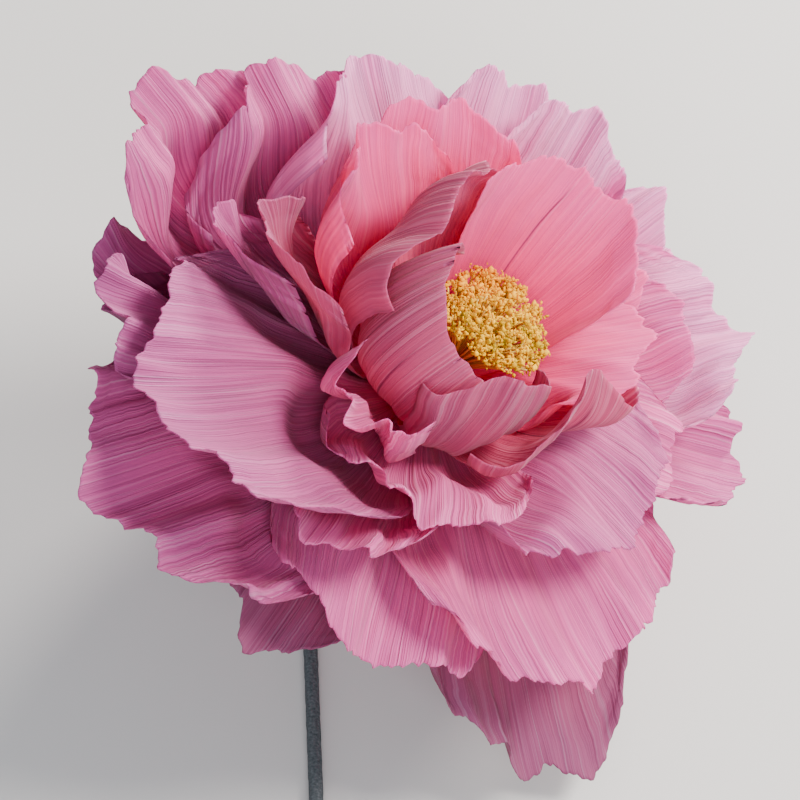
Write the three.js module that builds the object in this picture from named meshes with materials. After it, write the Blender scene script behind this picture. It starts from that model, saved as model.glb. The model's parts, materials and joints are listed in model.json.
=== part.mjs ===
import * as THREE from "three";

// A crepe paper peony on a wrapped wire stem, lying on a table top the way it comes to
// rest: the head stands on its outer petals, the neck bends under it and the stem runs
// along the table towards -Y. Every petal is one thin sheet of paper glued by its narrow
// foot to a ball at the heart. Millimetres, +Z up, table top at Z = 0.

// ---- head ----
const HEAD_LEAN = 30;
const HEAD_HEIGHT = 68.9;
const CORE_RADIUS = 10;
const FOOT_GAP = 0.4;
const PAPER = 0.5;
const LAYER_GAP = 1.15;
const LAYER_SPREAD = 0.01;

// ---- heart: the stamens open like a shaving brush, with frayed tips on top ----
const CORE_HOLE_END = 2;
const FRINGE_FOOT = 10.7;
const FRINGE_TOP = 28.6;
const FRINGE_FLARE = [[3.6, FRINGE_FOOT], [5.6, 16], [9.8, 23.5], [12.6, FRINGE_TOP]];
const FRINGE_PLEATS = 12;
const PLEAT_DEPTH = 0.04;
const TIPS_RADIUS = 14.6;
const TIPS_BASE = 29.1;
const TIPS_RIM = 2;
const TIPS_TOP = 34.5;
const TIPS_DROP = 3;
const TIPS_LUMP = 0.5;
const HEART_REACH = 37;
const HEART_OPENING = 27;
const TURNED_SIDES = 24;

// ---- stem ----
const WIRE_RADIUS = 1.05;
const WIRE_START = -1;
const WRAP_BORE = 1.35;
const WRAP_RADIUS = 1.85;
const COLLAR_RADIUS = 5;
const COLLAR_LENGTH = 16;
const NECK_START = 11.6;
const NECK_PULL = 25;
const TABLE_PULL = 16;
const LANDING_X = -30.2;
const LANDING_Y = -22;
const STEM_ON_TABLE = 235;
const STEM_TURN = 3;

// ---- paper colours ----
const TONES = {
  coral: 0xf0779a,
  rose: 0xdf86b0,
  mauve: 0xc983b4,
  blush: 0xf2b4d0,
};

// Each petal: turn is the direction it points in around the head, length and width are in
// millimetres, and open is how far it lies from the head's axis at its foot, its middle
// and its edge, in degrees. Petals are laid from the heart outwards.
const PETALS = [
  { name: "cup_left", turn: 210, length: 39, width: 54, open: [62, 66, 30], tone: "mauve",
    waves: 1, wave: 1.2, phase: 0.6, cup: 0, foot: 0.5, round: 0.4, slant: -0.14 },
  { name: "cup_top", turn: 62, length: 54, width: 64, open: [30, 36, 38], tone: "coral",
    waves: 1.5, wave: 1.5, phase: 2.2, cup: 6, foot: 0.5, round: 0.25 },
  { name: "cup_front", turn: 276, length: 36, width: 34, open: [58, 57, 30], tone: "mauve",
    waves: 1, wave: 1.2, phase: 1, cup: 2, foot: 0.6, slant: -0.15 },
  { name: "cup_right", turn: 14, length: 44, width: 48, open: [36, 46, 52], tone: "coral",
    waves: 1.5, wave: 1.5, phase: 0.2, cup: 6, foot: 0.5 },
  { name: "cup_fold", turn: 323, length: 40, width: 36, open: [54, 51, 28], tone: "mauve",
    waves: 1, wave: 1.5, phase: 2.6, cup: 2, foot: 0.6, slant: 0.12 },
  { name: "cup_back", turn: 138, length: 50, width: 56, open: [48, 51, 26], tone: "mauve",
    waves: 1, wave: 1.5, phase: 0.9, cup: 0, foot: 0.5 },
  { name: "heart_top", turn: 36, length: 48, width: 40, open: [42, 50, 54], tone: "coral",
    waves: 2, wave: 1.5, phase: 1.3 },
  { name: "tall_a", turn: 140, length: 57, width: 40, open: [52, 56, 52], tone: "coral",
    waves: 1.5, wave: 1.5, phase: 0.4 },
  { name: "tall_b", turn: 115, length: 59, width: 46, open: [48, 50, 50], tone: "coral",
    waves: 1.5, wave: 2, phase: 2.4 },
  { name: "side_left", turn: 174, length: 58, width: 40, open: [62, 68, 64], tone: "mauve",
    waves: 1.5, wave: 1.5, phase: 1.9 },
  { name: "frill_left", turn: 226, length: 52, width: 28, open: [60, 66, 62], tone: "rose",
    waves: 2, wave: 2, phase: 0 },
  { name: "frill_front", turn: 256, length: 49, width: 60, open: [62, 68, 70], tone: "rose",
    waves: 2, wave: 2, phase: 0.7 },
  { name: "front_right", turn: 320, length: 52, width: 76, open: [60, 68, 75], tone: "rose",
    waves: 2, wave: 1.8, phase: 1.1, round: 0.25 },
  { name: "right_low", turn: 350, length: 54, width: 46, open: [64, 70, 76], tone: "rose",
    waves: 2, wave: 1.8, phase: 2.1 },
  { name: "right_high", turn: 20, length: 58, width: 44, open: [58, 62, 64], tone: "rose",
    waves: 2, wave: 1.8, phase: 3 },
  { name: "small_curl", turn: 170, length: 63, width: 28, open: [74, 80, 74], tone: "rose",
    waves: 1, wave: 1.5, phase: 1.5 },
  { name: "big_left", turn: 205, length: 82, width: 104, open: [66, 78, 79], tone: "rose",
    waves: 2, wave: 2, phase: 0.4, round: 0.45, slant: 0.14 },
  { name: "top_right", turn: 72, length: 70, width: 38, open: [50, 56, 57], tone: "blush",
    waves: 2, wave: 2.2, phase: 1.2 },
  { name: "top_mid", turn: 88, length: 71, width: 42, open: [54, 60, 61], tone: "blush",
    waves: 2, wave: 2.2, phase: 2.5 },
  { name: "top_back", turn: 118, length: 71, width: 56, open: [60, 66, 68], tone: "blush",
    waves: 2, wave: 2.2, phase: 0.3 },
  { name: "low_left", turn: 239, length: 62, width: 44, open: [70, 79, 82], tone: "rose",
    waves: 2, wave: 1.8, phase: 0.9 },
  { name: "upper_mid", turn: 134, length: 77, width: 58, open: [68, 76, 77], tone: "rose",
    waves: 2, wave: 2.2, phase: 0.1 },
  { name: "upper_left", turn: 150, length: 89, width: 62, open: [72, 83, 84], tone: "rose",
    waves: 2.5, wave: 2.5, phase: 0.8 },
  { name: "left_mid", turn: 189, length: 82, width: 52, open: [76, 85, 84], tone: "rose",
    waves: 2.5, wave: 2, phase: 1.8 },
  { name: "far_right", turn: 22, length: 77, width: 50, open: [64, 72, 75], tone: "blush",
    waves: 2, wave: 2.2, phase: 0.5 },
  { name: "far_low_right", turn: 2, length: 79, width: 50, open: [76, 84, 86], tone: "rose",
    waves: 2, wave: 2.2, phase: 1.6 },
  { name: "far_top_right", turn: 45, length: 71, width: 38, open: [58, 63, 65], tone: "blush",
    waves: 2, wave: 2, phase: 2.9 },
  { name: "low_right", turn: 306, length: 71, width: 104, open: [80, 90, 93], tone: "rose",
    waves: 2.5, wave: 2.2, phase: 0.8 },
  { name: "low_mid", turn: 262, length: 68, width: 76, open: [82, 92, 95], tone: "rose",
    waves: 2, wave: 2.2, phase: 1.4 },
  { name: "out_left", turn: 168, length: 75, width: 60, open: [84, 91, 88], tone: "rose",
    waves: 2.5, wave: 2.2, phase: 0.6 },
  { name: "out_low_left", turn: 215, length: 89, width: 82, open: [88, 94, 94], tone: "rose",
    waves: 2.5, wave: 2.5, phase: 1 },
  { name: "hang_left", turn: 244, length: 72, width: 46, open: [98, 104, 106], tone: "mauve",
    waves: 1.5, wave: 1.5, phase: 0.3, round: 0.5 },
  { name: "hang_front", turn: 303, length: 90, width: 62, open: [98, 108, 111], tone: "mauve",
    waves: 2, wave: 2, phase: 1.9, slant: 0.14 },
  { name: "under_right", turn: 30, length: 78, width: 66, open: [88, 95, 98], tone: "rose",
    waves: 2, wave: 2.2, phase: 0.2 },
  { name: "under_top", turn: 85, length: 76, width: 66, open: [92, 110, 128], tone: "rose",
    waves: 2, wave: 2.2, phase: 1.2 },
];

// ---- the head's own directions: its axis, and two directions square to it ----
const lean = THREE.MathUtils.degToRad(HEAD_LEAN);
const AXIS = new THREE.Vector3(Math.sin(lean), 0, Math.cos(lean));
const SIDE = new THREE.Vector3(Math.cos(lean), 0, -Math.sin(lean));
const UP = new THREE.Vector3(0, 1, 0);

const radians = (degrees) => THREE.MathUtils.degToRad(degrees);
const smooth = (x) => {
  const t = Math.min(Math.max(x, 0), 1);
  return t * t * (3 - 2 * t);
};

// A point of the head: reach is the distance from the core's centre, turn the direction
// around the axis and opening the angle from the axis, both in radians.
function headPoint(reach, turn, opening) {
  const out = reach * Math.sin(opening);
  return new THREE.Vector3(0, 0, 0)
    .addScaledVector(AXIS, reach * Math.cos(opening))
    .addScaledVector(SIDE, out * Math.cos(turn))
    .addScaledVector(UP, out * Math.sin(turn));
}

// ---- meshes ----
function meshOf(name, points, faces, colour, roughness) {
  const geometry = new THREE.BufferGeometry();
  const flat = points.flatMap((point) => [point.x, point.y, point.z]);
  geometry.setAttribute("position", new THREE.Float32BufferAttribute(flat, 3));
  geometry.setIndex(faces.flat());
  geometry.computeVertexNormals();
  const material = new THREE.MeshStandardMaterial({ color: colour, roughness, metalness: 0 });
  material.side = THREE.FrontSide;
  const mesh = new THREE.Mesh(geometry, material);
  mesh.name = name;
  return mesh;
}

// ---- petals ----
// A petal is a grid of stations: across from one side to the other, along from foot to edge.
// It widens quickly from its foot, its side corners are rounded off and its edge is scalloped
// and ruffled; cup turns its two sides in towards the head's axis, in degrees.
const LARGE = 60;
const SCALLOP = 0.025;
const WIDEST_TURN = 1.45;
function petalGrid(petal) {
  const across = petal.width > LARGE ? 11 : 9;
  const along = petal.length > LARGE ? 6 : 5;
  const { waves, wave, phase, cup = 10, foot = 0.17, round = 0.35, slant = 0 } = petal;
  const [low, middle, high] = petal.open;
  const stations = [];
  for (let j = 0; j <= along; j++) {
    const v = j / along;
    const rise = low * (1 - v) * (1 - 2 * v) + middle * 4 * v * (1 - v) + high * v * (2 * v - 1);
    const spread = Math.sin(0.5 * Math.PI * Math.min(v / 0.85, 1.25)) ** 1.1;
    const halfWidth = 0.5 * petal.width * (foot + (1 - foot) * spread);
    for (let i = 0; i <= across; i++) {
      const u = (2 * i) / across - 1;
      const corner = round * (1 - Math.sqrt(1 - 0.96 * u * u));
      const scallop = SCALLOP * (1 - Math.cos(2.6 * Math.PI * u + phase));
      const length = petal.length * (1 + slant * u);
      const reach = CORE_RADIUS + FOOT_GAP + length * v * (1 - corner) * (1 - scallop);
      const around = reach * Math.sin(radians(Math.min(Math.max(rise, 14), 166)));
      const half = WIDEST_TURN * Math.tanh(halfWidth / around / WIDEST_TURN);
      const ruffle = wave * smooth((v - 0.25) / 0.75) * Math.sin(Math.PI * waves * u + phase);
      const cupped = cup * Math.abs(u) ** 2.2 * smooth(1.4 * v);
      stations.push({
        reach,
        turn: radians(petal.turn) + half * u,
        opening: radians(rise - cupped) + ruffle / reach,
      });
    }
  }
  return { across, along, stations };
}

// The two triangles of each grid cell, as station numbers.
function cellTriangles(across, along) {
  const triangles = [];
  for (let j = 0; j < along; j++) {
    for (let i = 0; i < across; i++) {
      const a = j * (across + 1) + i;
      const b = a + 1;
      const c = a + across + 1;
      const d = c + 1;
      triangles.push([a, b, d], [a, d, c]);
    }
  }
  return triangles;
}

// The layers already laid: for each small patch of reach and turn, how far the outermost
// paper there opens. Each new petal is opened until it clears what lies inside it.
const PATCH = 1.5;
const RINGS = 90;
const SPOKES = 180;
const laid = new Float64Array(RINGS * SPOKES);
for (let ring = 0; ring * PATCH < HEART_REACH; ring++) {
  laid.fill(radians(HEART_OPENING), ring * SPOKES, (ring + 1) * SPOKES);
}

function patchesAt(reach, turn) {
  const ring = Math.min(Math.max(reach / PATCH - 0.5, 0), RINGS - 2);
  const spoke = (((turn / (2 * Math.PI)) * SPOKES) % SPOKES) + SPOKES;
  const found = [];
  for (const r of [Math.floor(ring), Math.floor(ring) + 1]) {
    for (const s of [Math.floor(spoke), Math.floor(spoke) + 1]) {
      found.push(r * SPOKES + (s % SPOKES));
    }
  }
  return found;
}

const SAMPLES = 6;
function eachSample(grid, triangle, visit) {
  const [a, b, c] = triangle.map((k) => grid.stations[k]);
  for (let p = 0; p <= SAMPLES; p++) {
    for (let q = 0; q <= SAMPLES - p; q++) {
      const f = p / SAMPLES;
      const g = q / SAMPLES;
      const h = 1 - f - g;
      visit(
        h * a.reach + f * b.reach + g * c.reach,
        h * a.turn + f * b.turn + g * c.turn,
        h * a.opening + f * b.opening + g * c.opening,
      );
    }
  }
}

function openClearOfLayers(grid, triangles) {
  const push = new Float64Array(grid.stations.length);
  for (const triangle of triangles) {
    let short = 0;
    eachSample(grid, triangle, (reach, turn, opening) => {
      const inner = Math.max(...patchesAt(reach, turn).map((k) => laid[k]));
      if (inner > 0) {
        short = Math.max(short, inner + LAYER_GAP / reach + LAYER_SPREAD - opening);
      }
    });
    for (const k of triangle) {
      push[k] = Math.max(push[k], short);
    }
  }
  const least = Float64Array.from(push);
  const row = grid.across + 1;
  for (let pass = 0; pass < 3; pass++) {
    const before = Float64Array.from(push);
    for (let k = 0; k < push.length; k++) {
      const i = k % row;
      const left = before[i > 0 ? k - 1 : k];
      const right = before[i < grid.across ? k + 1 : k];
      const below = before[k >= row ? k - row : k];
      const above = before[k + row < push.length ? k + row : k];
      push[k] = Math.max(least[k], (2 * before[k] + left + right + below + above) / 6);
    }
  }
  grid.stations.forEach((station, k) => {
    station.opening += push[k];
  });
}

function layDown(grid, triangles) {
  for (const triangle of triangles) {
    eachSample(grid, triangle, (reach, turn, opening) => {
      for (const k of patchesAt(reach, turn)) {
        laid[k] = Math.max(laid[k], opening);
      }
    });
  }
}

function petalMesh(petal) {
  const grid = petalGrid(petal);
  const triangles = cellTriangles(grid.across, grid.along);
  openClearOfLayers(grid, triangles);
  layDown(grid, triangles);

  const count = grid.stations.length;
  const side = (half) =>
    grid.stations.map(({ reach, turn, opening }) => headPoint(reach, turn, opening + half / reach));
  const points = [...side(PAPER / 2), ...side(-PAPER / 2)];
  const faces = [];
  for (const [a, b, c] of triangles) {
    faces.push([a, b, c], [a + count, c + count, b + count]);
  }
  const rim = [];
  for (let i = 0; i < grid.across; i++) rim.push(i);
  for (let j = 0; j < grid.along; j++) rim.push(j * (grid.across + 1) + grid.across);
  for (let i = grid.across; i > 0; i--) rim.push(grid.along * (grid.across + 1) + i);
  for (let j = grid.along; j > 0; j--) rim.push(j * (grid.across + 1));
  rim.forEach((a, k) => {
    const b = rim[(k + 1) % rim.length];
    faces.push([b, a, a + count], [b, a + count, b + count]);
  });
  return meshOf(`petal_${petal.name}`, points, faces, TONES[petal.tone], 0.85);
}

// ---- pieces turned about the head's axis ----
// The profile runs from axis to axis as [radius, height] pairs; swell may change a radius
// or a height a little from place to place.
function turnedMesh(name, profile, colour, swell = (radius, height) => [radius, height]) {
  const sides = TURNED_SIDES;
  const points = [];
  const rows = profile.map(([radius, height]) => {
    if (radius === 0) {
      points.push(new THREE.Vector3().addScaledVector(AXIS, height));
      return new Array(sides).fill(points.length - 1);
    }
    const row = [];
    for (let k = 0; k < sides; k++) {
      const turn = (2 * Math.PI * k) / sides;
      const [r, h] = swell(radius, height, turn);
      points.push(
        new THREE.Vector3()
          .addScaledVector(AXIS, h)
          .addScaledVector(SIDE, r * Math.cos(turn))
          .addScaledVector(UP, r * Math.sin(turn)),
      );
      row.push(points.length - 1);
    }
    return row;
  });
  const faces = [];
  for (let j = 0; j + 1 < rows.length; j++) {
    for (let k = 0; k < sides; k++) {
      const next = (k + 1) % sides;
      const quad = [rows[j][k], rows[j][next], rows[j + 1][next], rows[j + 1][k]];
      if (quad[0] !== quad[1]) faces.push([quad[0], quad[1], quad[2]]);
      if (quad[2] !== quad[3]) faces.push([quad[0], quad[2], quad[3]]);
    }
  }
  return meshOf(name, points, faces, colour, 0.8);
}

// The ball at the heart, with a blind hole from below that holds the end of the wire.
function coreMesh() {
  const profile = [[0, CORE_HOLE_END], [WRAP_BORE, CORE_HOLE_END]];
  const steps = 14;
  const mouth = Math.asin(WRAP_BORE / CORE_RADIUS);
  for (let k = 0; k < steps; k++) {
    const angle = mouth + ((Math.PI - mouth) * k) / steps;
    profile.push([CORE_RADIUS * Math.sin(angle), -CORE_RADIUS * Math.cos(angle)]);
  }
  profile.push([0, CORE_RADIUS]);
  return turnedMesh("core", profile, 0xb9a98a);
}

function fringeMesh() {
  const profile = [[0, FRINGE_FOOT], ...FRINGE_FLARE, [0, FRINGE_TOP]];
  const pleat = (radius, height, turn) => {
    return [radius * (1 + PLEAT_DEPTH * Math.cos(FRINGE_PLEATS * turn)), height];
  };
  return turnedMesh("stamen_fringe", profile, 0xf1e3a0, pleat);
}

// A low cushion: flat below, domed and lumpy above, with a slightly scalloped rim.
function tipsMesh() {
  const profile = [[0, TIPS_BASE], [TIPS_RADIUS, TIPS_BASE], [TIPS_RADIUS, TIPS_BASE + TIPS_RIM]];
  for (const share of [0.8, 0.6, 0.4, 0.2]) {
    profile.push([TIPS_RADIUS * share, TIPS_TOP - TIPS_DROP * share * share]);
  }
  profile.push([0, TIPS_TOP]);
  const lumps = (radius, height, turn) => {
    if (height === TIPS_BASE) return [radius, height];
    const lift = Math.sin(7 * turn + radius) + Math.sin(4 * turn - 2 * radius);
    return [radius * (0.97 - 0.03 * Math.cos(9 * turn)), height + TIPS_LUMP * lift];
  };
  return turnedMesh("stamen_tips", profile, 0xe9c526, lumps);
}

// ---- stem ----
const NECK_STATIONS = [0, 0.25, 0.5, 0.75, 1];
const BEND_STATIONS = 12;
const TABLE_STATIONS = 4;

// Stations along the centre line, starting a given distance below the core's centre: straight
// down the head's axis, round one long bend, then along the table from the landing point.
// flank is a direction square to the line, chosen so that rings set on it never twist.
function stemStations(from) {
  const down = AXIS.clone().negate();
  const turn = radians(STEM_TURN);
  const along = new THREE.Vector3(Math.sin(turn), -Math.cos(turn), 0);
  const across = down.clone().cross(along).normalize();
  const line = [];
  const addStation = (at, tangent, distance) => {
    const flank = across.clone().addScaledVector(tangent, -across.dot(tangent)).normalize();
    line.push({ at, tangent, flank, distance });
  };

  const straight = NECK_STATIONS.map((share) => NECK_START + share * COLLAR_LENGTH);
  for (const distance of [from, ...straight.filter((place) => place > from)]) {
    addStation(down.clone().multiplyScalar(distance), down, distance);
  }
  const collarEnd = NECK_START + COLLAR_LENGTH;
  const bendStart = down.clone().multiplyScalar(collarEnd);
  const landing = new THREE.Vector3(LANDING_X, LANDING_Y, WRAP_RADIUS - HEAD_HEIGHT);
  const bend = new THREE.CubicBezierCurve3(
    bendStart,
    bendStart.clone().addScaledVector(down, NECK_PULL),
    landing.clone().addScaledVector(along, -TABLE_PULL),
    landing,
  );
  for (let k = 1; k <= BEND_STATIONS; k++) {
    const share = k / BEND_STATIONS;
    const distance = collarEnd + share * bend.getLength();
    addStation(bend.getPointAt(share), bend.getTangentAt(share), distance);
  }
  for (let k = 1; k <= TABLE_STATIONS; k++) {
    const run = (STEM_ON_TABLE * k) / TABLE_STATIONS;
    const at = landing.clone().addScaledVector(along, run);
    addStation(at, along, collarEnd + bend.getLength() + run);
  }
  return line;
}

// A tube, or a closed rod where there is no bore, along the given stations.
function sweptMesh(name, line, sides, outer, bore, colour, roughness) {
  const points = [];
  const addRing = ({ at, tangent, flank }, radius) => {
    const other = tangent.clone().cross(flank);
    const first = points.length;
    for (let k = 0; k < sides; k++) {
      const a = (2 * Math.PI * k) / sides;
      points.push(
        at
          .clone()
          .addScaledVector(flank, radius * Math.cos(a))
          .addScaledVector(other, radius * Math.sin(a)),
      );
    }
    return first;
  };
  const faces = [];
  const join = (first, second) => {
    for (let k = 0; k < sides; k++) {
      const next = (k + 1) % sides;
      faces.push([first + k, first + next, second + next], [first + k, second + next, second + k]);
    }
  };
  const skin = line.map((station) => addRing(station, outer(station.distance)));
  for (let j = 0; j + 1 < skin.length; j++) join(skin[j], skin[j + 1]);
  if (bore) {
    const inside = line.map((station) => addRing(station, bore));
    for (let j = 0; j + 1 < inside.length; j++) join(inside[j + 1], inside[j]);
    join(inside[0], skin[0]);
    join(skin[skin.length - 1], inside[inside.length - 1]);
  } else {
    const ends = [skin[0], skin[skin.length - 1]];
    const centres = [line[0].at, line[line.length - 1].at].map((at) => points.push(at) - 1);
    for (let k = 0; k < sides; k++) {
      const next = (k + 1) % sides;
      faces.push([centres[0], ends[0] + next, ends[0] + k]);
      faces.push([centres[1], ends[1] + k, ends[1] + next]);
    }
  }
  return meshOf(name, points, faces, colour, roughness);
}

function wrapRadius(distance) {
  const share = Math.max(0, 1 - (distance - NECK_START) / COLLAR_LENGTH);
  return WRAP_RADIUS + (COLLAR_RADIUS - WRAP_RADIUS) * share * share;
}

// ---- the whole flower ----
const flower = new THREE.Group();
flower.name = "paper_peony";
flower.add(coreMesh());
flower.add(fringeMesh());
flower.add(tipsMesh());
for (const petal of PETALS) {
  flower.add(petalMesh(petal));
}
flower.add(sweptMesh("stem_wire", stemStations(WIRE_START), 8, () => WIRE_RADIUS, 0, 0x6f7274, 0.5));
flower.add(
  sweptMesh("stem_wrap", stemStations(NECK_START), 12, wrapRadius, WRAP_BORE, 0x667070, 0.85),
);

// ---- stand it on the table, centred over the origin ----
const box = new THREE.Box3().setFromObject(flower);
for (const mesh of flower.children) {
  mesh.geometry.translate(-(box.min.x + box.max.x) / 2, -(box.min.y + box.max.y) / 2, -box.min.z);
}

export default flower;
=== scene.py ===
import json
import math

import bmesh
import bpy
import numpy as np
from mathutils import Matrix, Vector


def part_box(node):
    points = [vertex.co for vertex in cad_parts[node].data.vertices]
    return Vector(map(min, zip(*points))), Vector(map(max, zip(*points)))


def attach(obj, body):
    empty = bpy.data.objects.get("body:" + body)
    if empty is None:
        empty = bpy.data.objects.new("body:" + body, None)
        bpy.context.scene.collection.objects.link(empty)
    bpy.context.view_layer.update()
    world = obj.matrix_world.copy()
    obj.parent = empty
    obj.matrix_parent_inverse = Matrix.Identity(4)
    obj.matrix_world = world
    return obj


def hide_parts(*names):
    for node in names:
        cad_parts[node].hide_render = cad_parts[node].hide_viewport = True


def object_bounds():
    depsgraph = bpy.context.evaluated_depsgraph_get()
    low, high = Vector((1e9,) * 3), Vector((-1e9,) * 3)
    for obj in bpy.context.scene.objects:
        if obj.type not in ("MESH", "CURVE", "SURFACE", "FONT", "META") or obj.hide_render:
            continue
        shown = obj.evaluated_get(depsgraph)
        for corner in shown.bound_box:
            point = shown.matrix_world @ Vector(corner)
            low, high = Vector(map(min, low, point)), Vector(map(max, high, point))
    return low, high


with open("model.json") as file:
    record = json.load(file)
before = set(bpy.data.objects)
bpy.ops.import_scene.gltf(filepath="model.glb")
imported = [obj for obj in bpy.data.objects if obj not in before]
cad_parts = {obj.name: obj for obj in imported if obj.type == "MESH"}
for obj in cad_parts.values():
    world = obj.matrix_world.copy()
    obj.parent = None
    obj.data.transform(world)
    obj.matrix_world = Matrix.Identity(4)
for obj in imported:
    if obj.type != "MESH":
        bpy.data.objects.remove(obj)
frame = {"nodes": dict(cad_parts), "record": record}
cad_low, cad_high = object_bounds()

# ---- the head's place, from the imported model, and its directions ----
MM = 0.001
core_low, core_high = (np.array(corner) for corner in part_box("core"))
HEART = (core_low + core_high) / 2
FLOOR = cad_low[2]
HEAD_LEAN = math.radians(30)
AXIS = np.array([math.sin(HEAD_LEAN), 0, math.cos(HEAD_LEAN)])
SIDE = np.array([math.cos(HEAD_LEAN), 0, -math.sin(HEAD_LEAN)])
UP = np.array([0.0, 1.0, 0.0])

# ---- sizes in millimetres ----
CORE_RADIUS = 10
FOOT_GAP = 0.4
PAPER = 0.32
LAYER_GAP = 0.7
LAYER_SPREAD = 0.006
HEART_REACH = 37
HEART_OPENING = 27
FINE_GRID = 0.9
SCALLOP_LENGTH = 22
TEAR_LENGTH = 7
NO_FOLD = 900.0
FOLD_HALF = 0.42
RIDGE_HEIGHT = 0.9
RIDGE_WIDTH = 2.5
PATCH = 0.75

# ---- counts and angles for laying the petals ----
RINGS = 190
SPOKES = 360
LEAST_OPENING = 14
MOST_OPENING = 166
WIDEST_TURN = 1.45


def smooth(x):
    t = np.clip(x, 0, 1)
    return t * t * (3 - 2 * t)


def wander(x, seed, slowest, count=5):
    """A smooth irregular line between about -1 and 1: sines of rising pitch and random start."""
    rng = np.random.default_rng(seed)
    total = 0
    for k in range(count):
        pitch = slowest * 1.83**k * rng.uniform(0.85, 1.15)
        total = total + np.sin(2 * math.pi * (pitch * x + rng.uniform())) / 1.5**k
    return total / 2.2


# ---- petals: the CAD petals' order, with finer edges, flutes and folds ----
# The layers lie tighter here than in the CAD, so the outer petals stand higher than the CAD solids
# that they replace. cup_left and under_right also have sizes or angles of their own, and
# under_right's bring it down to the floor.
# shade is painted shade: the share of a darker, greyer colour laid over a whole petal that lies in the shade
# of others.
def petal(name, turn, length, width, opening, tone, **more):
    shape = dict(waves=2.5, wave=2.5, phase=0, cup=10, foot=0.17, round=0.35, flute=0.9, flutes=9.0)
    shape |= dict(scallop=2.0, creases=[], notches=[], skew=0, slant=0, wobble=0.6, shade=0)
    shape |= dict(name=name, turn=turn, length=length, width=width, opening=opening, tone=tone)
    return shape | more


PETALS = [
    petal("cup_left", 210, 38, 54, (62, 66, 29), "mauve", waves=1, wave=1.2, phase=0.6, cup=0,
          foot=0.5, round=0.4, flute=0.15, slant=-0.22, skew=6, creases=[-0.25, 0.15], shade=0.15),
    petal("cup_top", 62, 54, 64, (30, 36, 38), "coral", waves=1.5, wave=1.5, phase=2.2, cup=6,
          foot=0.5, round=0.25, flute=0.2, creases=[0.15]),
    petal("cup_front", 276, 36, 34, (58, 57, 30), "mauve", waves=1, wave=1.2, phase=1, cup=2,
          foot=0.6, slant=-0.15, flute=0.2, creases=[0.1], shade=0.3),
    petal("cup_right", 14, 44, 48, (36, 46, 52), "coral", waves=1.5, wave=1.5, phase=0.2, cup=6,
          foot=0.5, flute=0.2),
    petal("cup_fold", 323, 40, 36, (54, 51, 28), "mauve", waves=1, wave=1.5, phase=2.6, cup=2,
          foot=0.6, slant=0.12, flute=0.2, creases=[0]),
    petal("cup_back", 138, 50, 56, (48, 51, 26), "mauve", waves=1, wave=1.5, phase=0.9, cup=0,
          foot=0.5, flute=0.3),
    petal("heart_top", 36, 48, 40, (42, 50, 54), "coral", waves=2, wave=1.5, phase=1.3),
    petal("tall_a", 140, 57, 40, (52, 56, 52), "coral", waves=1.5, wave=1.5, phase=0.4),
    petal("tall_b", 115, 59, 46, (48, 50, 50), "coral", waves=1.5, wave=2, phase=2.4),
    petal("side_left", 174, 58, 40, (62, 68, 64), "mauve", waves=1.5, wave=1.5, phase=1.9, shade=0.2),
    petal("frill_left", 226, 52, 28, (60, 66, 62), "rose", waves=3, wave=2),
    petal("frill_front", 256, 49, 60, (62, 68, 70), "rose", waves=2.5, wave=2, phase=0.7),
    petal("front_right", 320, 52, 76, (60, 68, 75), "rose", wave=1.8, phase=1.1, round=0.25, shade=0.45),
    petal("right_low", 350, 54, 46, (64, 70, 76), "rose", wave=1.8, phase=2.1),
    petal("right_high", 20, 58, 44, (58, 62, 64), "rose", wave=1.8, phase=3),
    petal("small_curl", 170, 63, 28, (74, 80, 74), "rose", waves=1, wave=1.5, phase=1.5, shade=0.4),
    petal("big_left", 205, 82, 104, (66, 78, 79), "rose", waves=2.5, wave=2, phase=0.4, round=0.45,
          slant=0.14, shade=0.6),
    petal("top_right", 72, 70, 38, (50, 56, 57), "blush", wave=2.2, phase=1.2),
    petal("top_mid", 88, 71, 42, (54, 60, 61), "blush", wave=2.2, phase=2.5),
    petal("top_back", 118, 71, 56, (60, 66, 68), "blush", wave=2.2, phase=0.3),
    petal("low_left", 239, 62, 44, (70, 79, 82), "rose", wave=1.8, phase=0.9),
    petal("upper_mid", 134, 77, 58, (68, 76, 77), "rose", waves=3, wave=2.2, phase=0.1, shade=0.3),
    petal("upper_left", 150, 89, 62, (72, 83, 84), "rose", waves=3.5, wave=2.5, phase=0.8, shade=0.25),
    petal("left_mid", 189, 82, 52, (76, 85, 84), "rose", waves=3.5, wave=2, phase=1.8, shade=0.7),
    petal("far_right", 22, 77, 50, (64, 72, 75), "blush", waves=3, wave=2.2, phase=0.5),
    petal("far_low_right", 2, 79, 50, (76, 84, 86), "rose", waves=3, wave=2.2, phase=1.6, shade=0.35),
    petal("far_top_right", 45, 71, 38, (58, 63, 65), "blush", wave=2, phase=2.9),
    petal("low_right", 306, 71, 104, (80, 90, 93), "rose", waves=3.5, wave=2.2, phase=0.8),
    petal("low_mid", 262, 68, 76, (82, 92, 95), "rose", waves=3, wave=2.2, phase=1.4),
    petal("out_left", 168, 75, 60, (84, 91, 88), "rose", waves=3.5, wave=2.2, phase=0.6, shade=0.7),
    petal("out_low_left", 215, 89, 82, (88, 94, 94), "rose", waves=3.5, wave=2.5, phase=1, shade=0.45),
    petal("hang_left", 244, 72, 46, (98, 104, 106), "mauve", waves=1.5, wave=1.5, phase=0.3, round=0.5,
          shade=0.9),
    petal("hang_front", 303, 90, 62, (98, 108, 111), "mauve", wave=2, phase=1.9, slant=0.14, shade=0.9,
          notches=[(-0.3, 9, 0.14)]),
    petal("under_right", 30, 78, 66, (99.9, 109.8, 115.8), "rose", waves=3, wave=2.2, phase=0.2),
    petal("under_top", 85, 76, 66, (92, 110, 128), "rose", waves=3, wave=2.2, phase=1.2),
]


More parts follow.
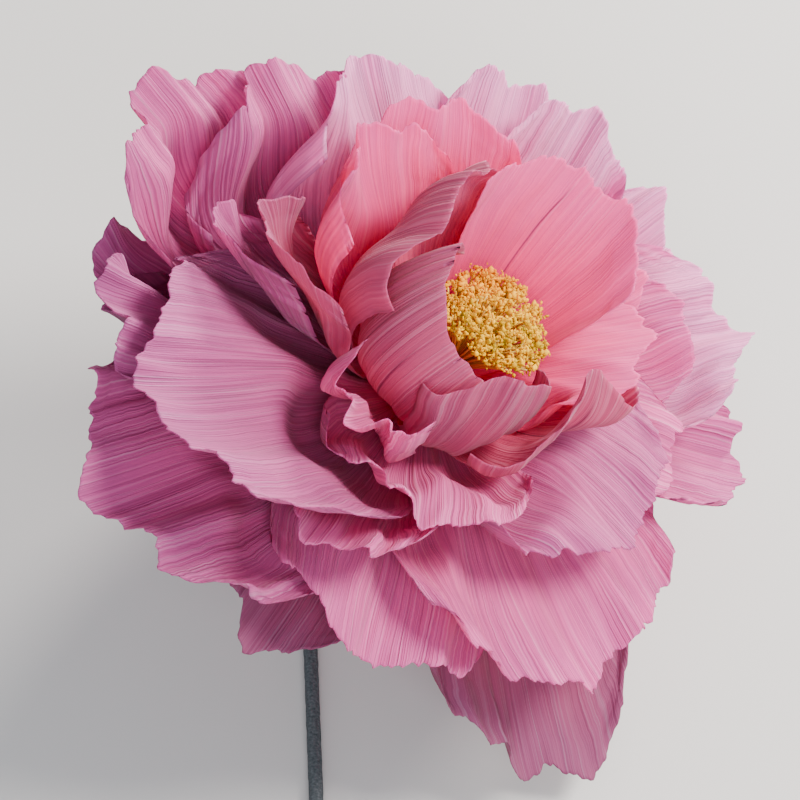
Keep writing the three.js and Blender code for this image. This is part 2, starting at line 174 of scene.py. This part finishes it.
# ---- petal shapes ----
def petal_grid(p, seed):
    """Reach in millimetres, turn and opening in radians, and paint values, at each grid point."""
    across = int(p["width"] / FINE_GRID) + 16
    along = int(p["length"] / FINE_GRID / 1.2) + 10
    u = np.linspace(-1, 1, across + 1)[None, :]
    v = np.linspace(0, 1, along + 1)[:, None]
    side = u * p["width"] / 2
    low, middle, high = p["opening"]
    rise = low * (1 - v) * (1 - 2 * v) + middle * 4 * v * (1 - v) + high * v * (2 * v - 1)

    corner = p["round"] * (1 - np.sqrt(1 - 0.96 * u * u))
    lobes = 0.025 * (1 - np.cos(2.6 * math.pi * u + p["phase"]))
    torn = p["scallop"] * wander(side, seed, 1 / SCALLOP_LENGTH)
    torn = torn - 0.5 * p["scallop"] * np.abs(wander(side, seed + 200, 1 / TEAR_LENGTH, 3))
    for place, depth, half in p["notches"]:
        torn = torn - depth * np.exp(-(((u - place) / half) ** 2))
    length = p["length"] * (1 + p["slant"] * u)
    reach = CORE_RADIUS + FOOT_GAP + length * v * (1 - corner) * (1 - lobes) + torn * v**5

    spread = np.sin(0.5 * math.pi * np.clip(v / 0.85, 0, 1.25)) ** 1.1
    half_width = 0.5 * p["width"] * (p["foot"] + (1 - p["foot"]) * spread)
    half_width = half_width + 0.5 * p["scallop"] * wander(v * p["length"], seed + 50, 1 / SCALLOP_LENGTH) * v
    around = reach * np.sin(np.radians(np.clip(rise, LEAST_OPENING, MOST_OPENING)))
    turn = math.radians(p["turn"]) + WIDEST_TURN * np.tanh(half_width / around / WIDEST_TURN) * u

    edge = smooth((v - 0.25) / 0.75)
    ruffle = np.sin(math.pi * p["waves"] * u + p["phase"])
    ruffle = ruffle + 0.3 * np.sin(2.3 * math.pi * p["waves"] * u + 1.7 * p["phase"] + 1)
    lift = p["wave"] * edge**1.3 * ruffle
    place = side / p["flutes"] + 0.6 * wander(side, seed + 90, 1 / 45, 3)
    flute = np.sin(2 * math.pi * place + 1.2 * np.sin(3 * v + seed))
    calm = 0.3 + 0.7 * smooth(0.5 + 0.8 * wander(side + 6 * v, seed + 70, 1 / 30, 2))
    lift = lift + p["flute"] * calm * smooth((v - 0.45) / 0.55) ** 1.4 * flute
    frill = wander(side + 2 * v, seed + 110, 1 / 9, 2)
    lift = lift + 0.55 * p["flute"] * smooth((v - 0.82) / 0.18) * frill
    lift = lift + p["wobble"] * wander(u * 1.3 + v * 0.8, seed + 130, 1.0, 3) * smooth(v * 2)
    # Each crease is a raised ridge, and its line (fold_1, fold_2) also gets a painted shade line in the
    # paper.
    folds = [np.full_like(reach, NO_FOLD), np.full_like(reach, NO_FOLD)]
    for k, place in enumerate(p["creases"]):
        folds[k] = (place + 0.05 * np.sin(3 * v)) * p["width"] / 2 + 0 * u
        line = np.abs(side - folds[k])
        lift = lift + RIDGE_HEIGHT * np.exp(-line / RIDGE_WIDTH) * smooth(v * 4) * smooth((1 - v) * 3)

    cupped = p["cup"] * np.abs(u) ** 2.2 * smooth(1.4 * v)
    opening = np.radians(rise - cupped + p["skew"] * u * v) + lift / reach
    paint = dict(
        across=side + 0 * v,
        along=reach - CORE_RADIUS,
        rise=v * (1 - 0.6 * corner),
        fold_1=folds[0],
        fold_2=folds[1],
    )
    return reach, turn + 0 * v, opening, paint


def spread_most(values, cells):
    """Each value becomes the largest within so many cells of it."""
    for axis in (0, 1):
        padded = np.pad(values, [(cells, cells) if k == axis else (0, 0) for k in (0, 1)], mode="edge")
        size = values.shape[axis]
        values = np.max([padded.take(range(k, k + size), axis) for k in range(2 * cells + 1)], axis=0)
    return values


def spread_mean(values, cells):
    for axis in (0, 1):
        padded = np.pad(values, [(cells, cells) if k == axis else (0, 0) for k in (0, 1)], mode="edge")
        size = values.shape[axis]
        values = np.mean([padded.take(range(k, k + size), axis) for k in range(2 * cells + 1)], axis=0)
    return values


def patch_of(reach, turn):
    ring = np.clip(reach / PATCH, 0, RINGS - 1).astype(int)
    spoke = np.floor(np.degrees(turn)).astype(int) % SPOKES
    return ring, spoke


def lay_petals():
    """Lays the petals from the heart outwards: each opens until it clears what is inside it."""
    laid = np.zeros((RINGS, SPOKES))
    laid[: int(HEART_REACH / PATCH)] = math.radians(HEART_OPENING)
    shapes = []
    for seed, p in enumerate(PETALS):
        reach, turn, opening, paint = petal_grid(p, seed)
        near = np.pad(laid, [(1, 1), (0, 0)], mode="edge")
        near = np.max([near[k : k + RINGS] for k in range(3)], axis=0)
        near = np.max([np.roll(near, k, axis=1) for k in (-1, 0, 1)], axis=0)
        inner = near[patch_of(reach, turn)]
        clear = inner + LAYER_GAP / reach + LAYER_SPREAD
        short = np.where(inner > 0, np.maximum(clear - opening, 0), 0)
        push = spread_mean(spread_mean(spread_most(short, 6), 3), 3)
        opening = opening + push
        for step_v, step_u in ((0, 0), (0, 1), (1, 0), (1, 1)):
            part = [
                (a[: a.shape[0] - step_v, : a.shape[1] - step_u] + a[step_v:, step_u:]) / 2
                for a in (reach, turn, opening)
            ]
            np.maximum.at(laid, patch_of(part[0], part[1]), part[2])
        shapes.append((p, reach, turn, opening, paint))
    return shapes


def head_points(reach, turn, opening):
    out = reach * np.sin(opening)
    rise = reach * np.cos(opening)
    local = rise[..., None] * AXIS
    local = local + (out * np.cos(turn))[..., None] * SIDE + (out * np.sin(turn))[..., None] * UP
    return HEART + MM * local


def new_object(name, points, faces, flat_from=None):
    mesh = bpy.data.meshes.new(name)
    mesh.from_pydata(points, [], faces)
    smooth_faces = np.ones(len(faces), dtype=bool)
    if flat_from is not None:
        smooth_faces[flat_from:] = False
    mesh.polygons.foreach_set("use_smooth", smooth_faces)
    mesh.update()
    piece = bpy.data.objects.new(name, mesh)
    bpy.context.collection.objects.link(piece)
    return piece


def give_values(piece, name, values):
    layer = piece.data.attributes.new(name, "FLOAT", "POINT")
    layer.data.foreach_set("value", np.asarray(values, dtype=np.float32).ravel())


def petal_object(p, reach, turn, opening, paint):
    """A closed sheet: the outer face, the inner face, and a thin rim that joins them."""
    rows, columns = reach.shape
    half = PAPER / 2 / reach
    outer = head_points(reach, turn, opening + half).reshape(-1, 3)
    inner = head_points(reach, turn, opening - half).reshape(-1, 3)
    count = rows * columns
    at = np.arange(count).reshape(rows, columns)
    a, b, c, d = (x.ravel() for x in (at[:-1, :-1], at[:-1, 1:], at[1:, :-1], at[1:, 1:]))
    faces = np.concatenate([np.stack([a, b, d, c], 1), np.stack([a, c, d, b], 1) + count])
    loop = np.concatenate([at[0, :-1], at[:-1, -1], at[-1, :0:-1], at[:0:-1, 0]])
    ahead = np.roll(loop, -1)
    rim = np.stack([ahead, loop, loop + count, ahead + count], 1)
    points = np.concatenate([outer, inner])
    sheet = np.concatenate([faces, rim]).tolist()
    piece = new_object(f"paper_{p['name']}", points.tolist(), sheet, flat_from=len(faces))
    for key, values in paint.items():
        give_values(piece, key, np.concatenate([values.ravel(), values.ravel()]))
    # The outer faces get painted shade: a darker colour stands in for the shade on the petals' backs.
    give_values(piece, "painted_back_shade", np.concatenate([np.ones(count), np.zeros(count)]))
    # Each petal's painted shade share, the same all over the petal.
    give_values(piece, "shade", np.full(2 * count, p["shade"]))
    return piece


# ---- materials ----
class Nodes:
    """Short calls for building one material's node tree."""

    def __init__(self, name):
        self.material = bpy.data.materials.new(name)
        self.material.use_nodes = True
        self.tree = self.material.node_tree
        self.tree.nodes.clear()

    def node(self, kind, **settings):
        node = self.tree.nodes.new(kind)
        for key, value in settings.items():
            setattr(node, key, value)
        return node

    def put(self, value, socket):
        if isinstance(value, bpy.types.NodeSocket):
            self.tree.links.new(value, socket)
        else:
            socket.default_value = value

    def value(self, name):
        return self.node("ShaderNodeAttribute", attribute_name=name).outputs["Fac"]

    def math(self, operation, *values, clamp=False):
        node = self.node("ShaderNodeMath", operation=operation, use_clamp=clamp)
        for k, value in enumerate(values):
            self.put(value, node.inputs[k])
        return node.outputs[0]

    def vector(self, x, y, z):
        node = self.node("ShaderNodeCombineXYZ")
        for k, value in enumerate((x, y, z)):
            self.put(value, node.inputs[k])
        return node.outputs[0]

    def noise(self, vector, scale, detail=2.0, roughness=0.5):
        node = self.node("ShaderNodeTexNoise")
        self.put(vector, node.inputs["Vector"])
        self.put(scale, node.inputs["Scale"])
        self.put(detail, node.inputs["Detail"])
        self.put(roughness, node.inputs["Roughness"])
        return node.outputs["Fac"]

    def ramp(self, value, stops):
        node = self.node("ShaderNodeValToRGB")
        self.put(value, node.inputs[0])
        elements = node.color_ramp.elements
        while len(elements) < len(stops):
            elements.new(0.5)
        for element, (place, colour) in zip(elements, stops):
            element.position = place
            element.color = (*colour, 1)
        return node.outputs[0]

    def blend(self, share, first, second, mode="MIX"):
        node = self.node("ShaderNodeMix", data_type="RGBA", blend_type=mode)
        self.put(share, node.inputs[0])
        self.put(first if isinstance(first, bpy.types.NodeSocket) else (*first, 1), node.inputs[6])
        self.put(second if isinstance(second, bpy.types.NodeSocket) else (*second, 1), node.inputs[7])
        return node.outputs[2]

    def bump(self, height, strength, distance):
        node = self.node("ShaderNodeBump")
        self.put(strength, node.inputs["Strength"])
        self.put(distance, node.inputs["Distance"])
        self.put(height, node.inputs["Height"])
        return node.outputs["Normal"]

    def finish(self, colour, roughness, normal=None, sheen=0.0, glow=0.0, specular=0.25, metallic=0.0):
        """The surface; glow is the share of light that the paper lets through."""
        shader = self.node("ShaderNodeBsdfPrincipled")
        self.put(colour, shader.inputs["Base Color"])
        self.put(roughness, shader.inputs["Roughness"])
        shader.inputs["Sheen Weight"].default_value = sheen
        shader.inputs["Specular IOR Level"].default_value = specular
        shader.inputs["Metallic"].default_value = metallic
        if normal is not None:
            self.put(normal, shader.inputs["Normal"])
        result = shader.outputs[0]
        if glow:
            through = self.node("ShaderNodeBsdfTranslucent")
            self.put(colour, through.inputs["Color"])
            if normal is not None:
                self.put(normal, through.inputs["Normal"])
            mix = self.node("ShaderNodeMixShader")
            mix.inputs[0].default_value = glow
            self.tree.links.new(result, mix.inputs[1])
            self.tree.links.new(through.outputs[0], mix.inputs[2])
            result = mix.outputs[0]
        output = self.node("ShaderNodeOutputMaterial")
        self.tree.links.new(result, output.inputs["Surface"])
        return self.material


def crepe(name, foot, body, edge, painted_back_shade, glow, grain=1.0):
    """Crepe paper: fine crinkles fanning from foot to edge, deeper in colour towards the foot, partly as the
    paper's dye and partly as painted shade and glow, with painted shade in the crinkle valleys, creases and
    backs and painted highlights on the ridges.
    """
    n = Nodes(name)
    across, along, rise = n.value("across"), n.value("along"), n.value("rise")
    seed = n.math("MULTIPLY", n.node("ShaderNodeObjectInfo").outputs["Random"], 40.0)

    def streaks(per_mm, length, detail):
        place = n.vector(n.math("MULTIPLY", across, per_mm), n.math("MULTIPLY", along, 1 / length), seed)
        return n.noise(place, 1.0, detail, 0.6)

    wide, fine, hair = streaks(0.4, 130.0, 2.0), streaks(2.4, 60.0, 1.0), streaks(4.4, 30.0, 1.0)
    cloud = streaks(0.05, 25.0, 3.0)
    # Deeper colour towards the foot: partly the paper's dye, partly painted shade and the red glow of light
    # passing through the petals near the heart.
    depth = n.math("ADD", rise, n.math("MULTIPLY", n.math("SUBTRACT", wide, 0.5), 0.14))
    surface_colour = n.ramp(depth, [(0.12, foot), (0.5, body), (0.92, edge)])
    # Painted shade on the outer faces: their colour is darker than the inner faces' colour.
    surface_colour = n.blend(n.math("MULTIPLY", n.value("painted_back_shade"), 0.75), surface_colour, painted_back_shade)
    # Crinkle streaks darker in the valleys of the bump: partly the paper's streaks, partly painted shade in
    # the valleys.
    streaks_and_valley_shade = n.ramp(fine, [(0.32, (0.62, 0.46, 0.56)), (0.52, (0.95, 0.93, 0.95)), (0.66, (1.0, 1.0, 1.0))])
    surface_colour = n.blend(0.6 * grain, surface_colour, streaks_and_valley_shade, "MULTIPLY")
    thread_streaks_and_valley_shade = n.ramp(hair, [(0.36, (0.72, 0.62, 0.70)), (0.55, (1.0, 1.0, 1.0))])
    surface_colour = n.blend(0.45 * grain, surface_colour, thread_streaks_and_valley_shade, "MULTIPLY")
    # Painted highlight: whitish pink on the crinkle ridges, stronger towards the edge.
    painted_ridge_highlight = n.ramp(fine, [(0.55, (0.0, 0.0, 0.0)), (0.75, (1.0, 1.0, 1.0))])
    surface_colour = n.blend(n.math("MULTIPLY", n.math("MULTIPLY", painted_ridge_highlight, rise), 0.28 * grain), surface_colour, (1.0, 0.80, 0.92))
    surface_colour = n.blend(0.35, surface_colour, n.ramp(cloud, [(0.3, (0.84, 0.74, 0.84)), (0.7, (1, 1, 1))]), "MULTIPLY")
    # Painted shade: a petal's shade value darkens and greys its colour.
    surface_colour = n.blend(n.value("shade"), surface_colour, (0.52, 0.62, 0.64), "MULTIPLY")
    # Painted shade: a dark crimson line along each crease, fading out near the edge.
    first = n.math("ABSOLUTE", n.math("SUBTRACT", across, n.value("fold_1")))
    second = n.math("ABSOLUTE", n.math("SUBTRACT", across, n.value("fold_2")))
    gap = n.math("MINIMUM", first, second)
    painted_crease_shade = n.math("SUBTRACT", 1.0, n.math("DIVIDE", gap, FOLD_HALF), clamp=True)
    fade = n.math("MULTIPLY", n.math("SUBTRACT", 0.93, rise), 8.0, clamp=True)
    surface_colour = n.blend(n.math("MULTIPLY", n.math("MULTIPLY", painted_crease_shade, fade), 0.9), surface_colour, (0.22, 0.02, 0.07))
    height = n.math("ADD", n.math("MULTIPLY", fine, 0.7), n.math("MULTIPLY", wide, 0.28))
    height = n.math("ADD", height, n.math("MULTIPLY", hair, 0.35))
    normal = n.bump(height, 0.9 * grain, 0.0009)
    return n.finish(surface_colour, 0.68, normal, sheen=0.12, glow=glow)


# The tones are partly paper colour and partly painted light: blush is painted lighter for the petals the
# lamps light from the top and behind, mauve darker and greyer for petals in shade, and coral redder for the
# inner bowl, standing in for the glow of light passing through several layers.
PAPERS = {
    "coral": crepe(
        "coral_paper", foot=(0.97, 0.02, 0.16), body=(0.98, 0.06, 0.29),
        edge=(0.97, 0.16, 0.48), painted_back_shade=(0.84, 0.14, 0.36), glow=0.6, grain=0.5,
    ),
    "rose": crepe(
        "rose_paper", foot=(0.93, 0.06, 0.25), body=(0.90, 0.13, 0.40),
        edge=(0.88, 0.17, 0.48), painted_back_shade=(0.80, 0.14, 0.39), glow=0.5,
    ),
    "mauve": crepe(
        "mauve_paper", foot=(0.93, 0.05, 0.22), body=(0.82, 0.09, 0.23),
        edge=(0.68, 0.14, 0.31), painted_back_shade=(0.60, 0.09, 0.21), glow=0.5, grain=0.7,
    ),
    "blush": crepe(
        "blush_paper", foot=(0.97, 0.10, 0.34), body=(0.98, 0.30, 0.62),
        edge=(0.99, 0.44, 0.75), painted_back_shade=(0.94, 0.30, 0.62), glow=0.55,
    ),
}


# ---- the petals ----
for shape in lay_petals():
    piece = petal_object(*shape)
    tone = shape[0]["tone"]
    piece.data.materials.append(PAPERS[tone])
    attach(piece, "root")
    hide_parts(f"petal_{shape[0]['name']}")


# ---- the stamens: a fan of cut strands with a crumpled tip on each ----
STRANDS = 240
STRAND_FOOT = 10.4
STRAND_TOP = 33.4
STAMEN_RADIUS = 13.7
STRAND_FOOT_RADIUS = 3.0
STRAND_STEPS = 8
STRAND_SIDES = 5
STRAND_THICK = 0.34
STRAND_THIN = 0.24
GOLDEN_TURN = 2.39996
LUMPS = 9
rng = np.random.default_rng(5)


def turned(radius, height, angle):
    """Points at a radius and a height about the head's axis, in millimetres."""
    flat = (radius * np.cos(angle))[..., None] * SIDE + (radius * np.sin(angle))[..., None] * UP
    return HEART + MM * (flat + np.asarray(height)[..., None] * AXIS)


def tube(centres, radii, sides=STRAND_SIDES):
    """A closed tube through a line of centres."""
    count = len(centres)
    tangents = np.gradient(centres, axis=0)
    tangents /= np.linalg.norm(tangents, axis=1, keepdims=True)
    first = np.cross(tangents, (0.31, 0.77, -0.56))
    first /= np.linalg.norm(first, axis=1, keepdims=True)
    second = np.cross(tangents, first)
    angles = np.arange(sides) * 2 * math.pi / sides
    ring = np.cos(angles)[None, :, None] * first[:, None] + np.sin(angles)[None, :, None] * second[:, None]
    points = (centres[:, None] + np.asarray(radii)[:, None, None] * ring).reshape(-1, 3)
    k, j = np.meshgrid(np.arange(sides), np.arange(count - 1))
    a, b = j * sides + k, j * sides + (k + 1) % sides
    faces = np.stack([a, b, b + sides, a + sides], -1).reshape(-1, 4).tolist()
    faces += [list(range(sides))[::-1], [(count - 1) * sides + k for k in range(sides)]]
    return points, faces


def joined(name, parts, values):
    """One object made of many small shapes; values gives each shape's paint values."""
    points, faces, paints, first = [], [], {key: [] for key in values[0]}, 0
    for (shape_points, shape_faces), paint in zip(parts, values):
        points.append(shape_points)
        faces += [[first + k for k in face] for face in shape_faces]
        first += len(shape_points)
        for key, value in paint.items():
            paints[key].append(np.broadcast_to(value, len(shape_points)))
    piece = new_object(name, np.concatenate(points).tolist(), faces)
    for key, value in paints.items():
        give_values(piece, key, np.concatenate(value))
    return piece


share = rng.uniform(0.02, 1, STRANDS) ** 0.45
angle = np.arange(STRANDS) * GOLDEN_TURN + rng.uniform(-0.25, 0.25, STRANDS)
top = STRAND_TOP - 3.4 * share**2 - rng.uniform(0, 2.0, STRANDS) * (1 - 0.6 * share)
strands, strand_values, tip_centres = [], [], []
t = np.linspace(0, 1, STRAND_STEPS)
for s_share, s_angle, s_top in zip(share, angle, top):
    radius = STRAND_FOOT_RADIUS * s_share + (STAMEN_RADIUS - STRAND_FOOT_RADIUS) * s_share * t**1.4
    radius = radius + 0.5 * np.sin(3 * t + 9 * s_angle) * t
    turn = s_angle + rng.uniform(-0.12, 0.12) * t
    line = turned(radius, STRAND_FOOT + (s_top - STRAND_FOOT) * t, turn)
    strands.append(tube(line, MM * np.linspace(STRAND_THICK, STRAND_THIN, len(t))))
    strand_values.append(dict(rise=np.repeat(t, STRAND_SIDES), tint=rng.uniform()))
    tip_centres.append(line[-1])
fringe = joined("stamen_strands", strands, strand_values)

ball = bmesh.new()
bmesh.ops.create_icosphere(ball, subdivisions=1, radius=1.0)
ball_points = np.array([corner.co[:] for corner in ball.verts])
ball_faces = [[corner.index for corner in face.verts] for face in ball.faces]
ball.free()
lumps, lump_values = [], []
for centre, s_share, s_angle in zip(tip_centres, share, angle):
    tint = rng.uniform()
    for _ in range(LUMPS):
        size = rng.uniform(0.24, 0.52) * MM
        stretch = rng.uniform(0.35, 2.0, 3)
        crumple = rng.uniform(0.5, 1.35, (len(ball_points), 1))
        offset = rng.normal(0, 0.68, 3) * MM
        lumps.append((centre + offset + size * stretch * crumple * ball_points, ball_faces))
        shade = 0.6 * tint + 0.4 * rng.uniform()
        # rim and far mark the tips at the rim on one side, which get painted shade and glow.
        lump_values.append(dict(tint=shade, rim=s_share, far=math.sin(s_angle - 0.4)))
tips = joined("stamen_crumpled_tips", lumps, lump_values)


def strand_paper():
    n = Nodes("strand_paper")
    stops = [(0.35, (0.70, 0.30, 0.02)), (0.7, (0.90, 0.55, 0.06)), (1.0, (0.95, 0.70, 0.20))]
    surface_colour = n.ramp(n.value("rise"), stops)
    surface_colour = n.blend(n.math("MULTIPLY", n.value("tint"), 0.5), surface_colour, (0.95, 0.52, 0.03))
    return n.finish(surface_colour, 0.7, glow=0.25)


def tip_paper():
    n = Nodes("tip_paper")
    stops = [(0.1, (0.50, 0.34, 0.0)), (0.3, (0.72, 0.42, 0.0)), (0.8, (0.92, 0.56, 0.0))]
    surface_colour = n.ramp(n.value("tint"), stops)
    # Painted light: the tips at the rim on one side turn orange, standing in for the shade and the light
    # shining through there.
    rim_shade_and_glow = n.math("MULTIPLY", n.math("MULTIPLY", n.value("rim"), n.value("far"), clamp=True), 0.5)
    surface_colour = n.blend(rim_shade_and_glow, surface_colour, (1.0, 0.22, 0.0))
    return n.finish(surface_colour, 0.75, glow=0.4)


for piece, node, slot, paper in (
    (fringe, "stamen_fringe", "fringe_paper", strand_paper()),
    (tips, "stamen_tips", "tips_paper", tip_paper()),
):
    piece.data.materials.append(paper)
    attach(piece, "root")
    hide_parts(node)


# ---- the stem: wire wound with crepe tape, flared under the head ----
WRAP_BORE = 1.35
WRAP_RADIUS = 1.85
COLLAR_RADIUS = 5
COLLAR_LENGTH = 16
NECK_START = 11.6
NECK_PULL = 25
TABLE_PULL = 16
LANDING_X = -30.2
LANDING_Y = -22
TAPE_PITCH = 7.0
TAPE_STEP = 0.16
WRAP_SIDES = 32
STEM_STEP = 0.8
mount = frame["record"]["mounts"][0]
stem_end = np.array(mount["pos_m"])
ALONG = np.array(mount["axis"])


def stem_line():
    """The centre line below the head: points, tangents and distances, in millimetres from the heart."""
    down = -AXIS
    end = (stem_end - HEART) / MM
    collar_end = down * (NECK_START + COLLAR_LENGTH)
    landing = np.array([LANDING_X, LANDING_Y, end[2]])
    corners = [collar_end, collar_end + NECK_PULL * down, landing - TABLE_PULL * ALONG, landing]
    t = np.linspace(0, 1, 400)[:, None]
    bend = sum(c * math.comb(3, k) * t**k * (1 - t) ** (3 - k) for k, c in enumerate(corners))
    line = np.concatenate([[down * NECK_START], bend, [end]])
    lengths = np.linalg.norm(np.diff(line, axis=0), axis=1)
    travelled = np.concatenate([[0], np.cumsum(lengths)])
    distances = np.linspace(0, travelled[-1], int(travelled[-1] / STEM_STEP))
    places = np.stack([np.interp(distances, travelled, line[:, k]) for k in range(3)], axis=1)
    tangents = np.gradient(places, axis=0)
    tangents /= np.linalg.norm(tangents, axis=1, keepdims=True)
    return places, tangents, distances + NECK_START


def wrap_object():
    places, tangents, distances = stem_line()
    across = np.cross(-AXIS, ALONG)
    flank = across - (tangents @ across)[:, None] * tangents
    flank /= np.linalg.norm(flank, axis=1, keepdims=True)
    other = np.cross(tangents, flank)
    angles = np.arange(WRAP_SIDES) * 2 * math.pi / WRAP_SIDES
    ring = np.cos(angles)[None, :, None] * flank[:, None] + np.sin(angles)[None, :, None] * other[:, None]
    collar = np.clip(1 - (distances - NECK_START) / COLLAR_LENGTH, 0, 1) ** 2
    radius = (WRAP_RADIUS + (COLLAR_RADIUS - WRAP_RADIUS) * collar)[:, None] + 0 * angles
    lap = (distances[:, None] / TAPE_PITCH + angles / (2 * math.pi)) % 1
    crinkle = wander(lap * 9 + distances[:, None] / 23, 31, 1.0, 4)
    outer = radius - TAPE_STEP * (1 - lap**0.35) - 0.05 * (1 + crinkle)
    inner = WRAP_BORE + 0 * outer
    points = [HEART + MM * (places[:, None] + size[..., None] * ring) for size in (outer, inner)]
    rows, count = outer.shape[0], outer.size
    k, j = np.meshgrid(np.arange(WRAP_SIDES), np.arange(rows - 1))
    a, b = j * WRAP_SIDES + k, j * WRAP_SIDES + (k + 1) % WRAP_SIDES
    skin = np.stack([a, b, b + WRAP_SIDES, a + WRAP_SIDES], -1).reshape(-1, 4)
    lining = skin[:, ::-1] + count
    ends = []
    for row, flip in ((0, 1), (rows - 1, -1)):
        near = row * WRAP_SIDES + np.arange(WRAP_SIDES)
        ahead = np.roll(near, -1)
        ends.append(np.stack([near, near + count, ahead + count, ahead], 1)[:, ::flip])
    faces = np.concatenate([skin, lining, *ends])
    corners = np.concatenate([p.reshape(-1, 3) for p in points]).tolist()
    piece = new_object("stem_tape", corners, faces.tolist())
    give_values(piece, "lap", np.concatenate([lap.ravel(), lap.ravel()]))
    give_values(piece, "along", np.tile(np.repeat(distances, WRAP_SIDES), 2))
    give_values(piece, "around", np.tile(np.tile(angles, rows), 2))
    return piece


def tape_paper():
    n = Nodes("tape_paper")
    lap, along, around = n.value("lap"), n.value("along"), n.value("around")
    twist = n.math("ADD", n.math("MULTIPLY", around, 1.85), n.math("MULTIPLY", along, 0.12))
    grain = n.noise(n.vector(n.math("MULTIPLY", twist, 1.2), n.math("MULTIPLY", along, 1.6), 3.0), 1.0, 3.0)
    stops = [(0.3, (0.030, 0.037, 0.040)), (0.55, (0.062, 0.072, 0.078)), (0.8, (0.11, 0.125, 0.13))]
    surface_colour = n.ramp(grain, stops)
    # Painted shade: a dark band at the foot of each lap's step, under the edge of the lap above.
    surface_colour = n.blend(n.math("MULTIPLY", n.math("LESS_THAN", lap, 0.09), 0.55), surface_colour, (0.015, 0.02, 0.022))
    return n.finish(surface_colour, 0.7, n.bump(grain, 0.5, 0.0003), specular=0.3)


wrap = wrap_object()
wrap.data.materials.append(tape_paper())
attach(wrap, "root")
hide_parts("stem_wrap")


def speckled(name, dark, light, per_metre, roughness, metallic=0.0):
    n = Nodes(name)
    place = n.node("ShaderNodeTexCoord").outputs["Object"]
    grain = n.noise(place, per_metre, 3.0)
    surface_colour = n.ramp(grain, [(0.3, dark), (0.7, light)])
    return n.finish(surface_colour, roughness, n.bump(grain, 0.4, 0.0004), metallic=metallic)


ball_paint = speckled("core_ball", (0.42, 0.33, 0.20), (0.62, 0.52, 0.36), 900.0, 0.85)
steel = speckled("wire_steel", (0.30, 0.31, 0.32), (0.42, 0.43, 0.44), 1500.0, 0.42, metallic=1.0)
frame["nodes"]["core"].material_slots[0].material = ball_paint
frame["nodes"]["stem_wire"].material_slots[0].material = steel


# ---- the floor, the light and the camera ----
def plain(name, colour, roughness):
    n = Nodes(name)
    place = n.node("ShaderNodeTexCoord").outputs["Object"]
    shade = n.ramp(n.noise(place, 3.0, 2.0), [(0.3, tuple(0.96 * c for c in colour)), (0.7, colour)])
    return n.finish(shade, roughness)


FLOOR_HALF = 6
corners = [(x * FLOOR_HALF, y * FLOOR_HALF, FLOOR) for x, y in ((-1, -1), (1, -1), (1, 1), (-1, 1))]
floor = new_object("floor", corners, [(0, 1, 2, 3)])
floor.data.materials.append(plain("floor_paint", (0.50, 0.485, 0.465), 0.9))

world = bpy.data.worlds.new("studio")
bpy.context.scene.world = world
world.use_nodes = True
world.node_tree.nodes["Background"].inputs[0].default_value = (0.78, 0.84, 0.92, 1)
world.node_tree.nodes["Background"].inputs[1].default_value = 0.8


def lamp(name, place, size, watts, colour):
    """A round lamp at a place measured from the heart, in metres, that faces the heart."""
    data = bpy.data.lights.new(name, "AREA")
    data.shape = "DISK"
    data.size = size
    data.energy = watts
    data.color = colour
    item = bpy.data.objects.new(name, data)
    bpy.context.collection.objects.link(item)
    item.location = HEART + np.array(place)
    way = HEART - np.array(item.location)
    item.rotation_euler = Vector(way).to_track_quat("-Z", "Y").to_euler()


lamp("key", (0.66, 0.05, 0.68), 0.4, 23, (1.0, 0.96, 0.92))
lamp("behind", (0.55, 0.80, 0.30), 0.3, 27, (1.0, 0.94, 0.90))
lamp("fill", (0.1, -0.9, 0.65), 0.7, 12, (0.90, 0.94, 1.0))

VIEW_HEIGHT = math.asin(math.sqrt(2 / 3))
VIEW_DISTANCE = 0.635
LENS = 120
RIGHT = np.array([1.0, 0, 0])
LIFT = np.array([0, math.sin(VIEW_HEIGHT), math.cos(VIEW_HEIGHT)])
BACK = np.array([0, -math.cos(VIEW_HEIGHT), math.sin(VIEW_HEIGHT)])
FRAME_MIDDLE = HEART - 7.1 * MM * RIGHT - 3.6 * MM * LIFT
camera = bpy.data.objects.new("camera", bpy.data.cameras.new("camera"))
bpy.context.collection.objects.link(camera)
camera.data.lens = LENS
camera.data.sensor_width = 36
camera.data.clip_start = 0.01
camera.location = FRAME_MIDDLE + VIEW_DISTANCE * BACK
camera.rotation_euler = (math.pi / 2 - VIEW_HEIGHT, 0, 0)
bpy.context.scene.camera = camera
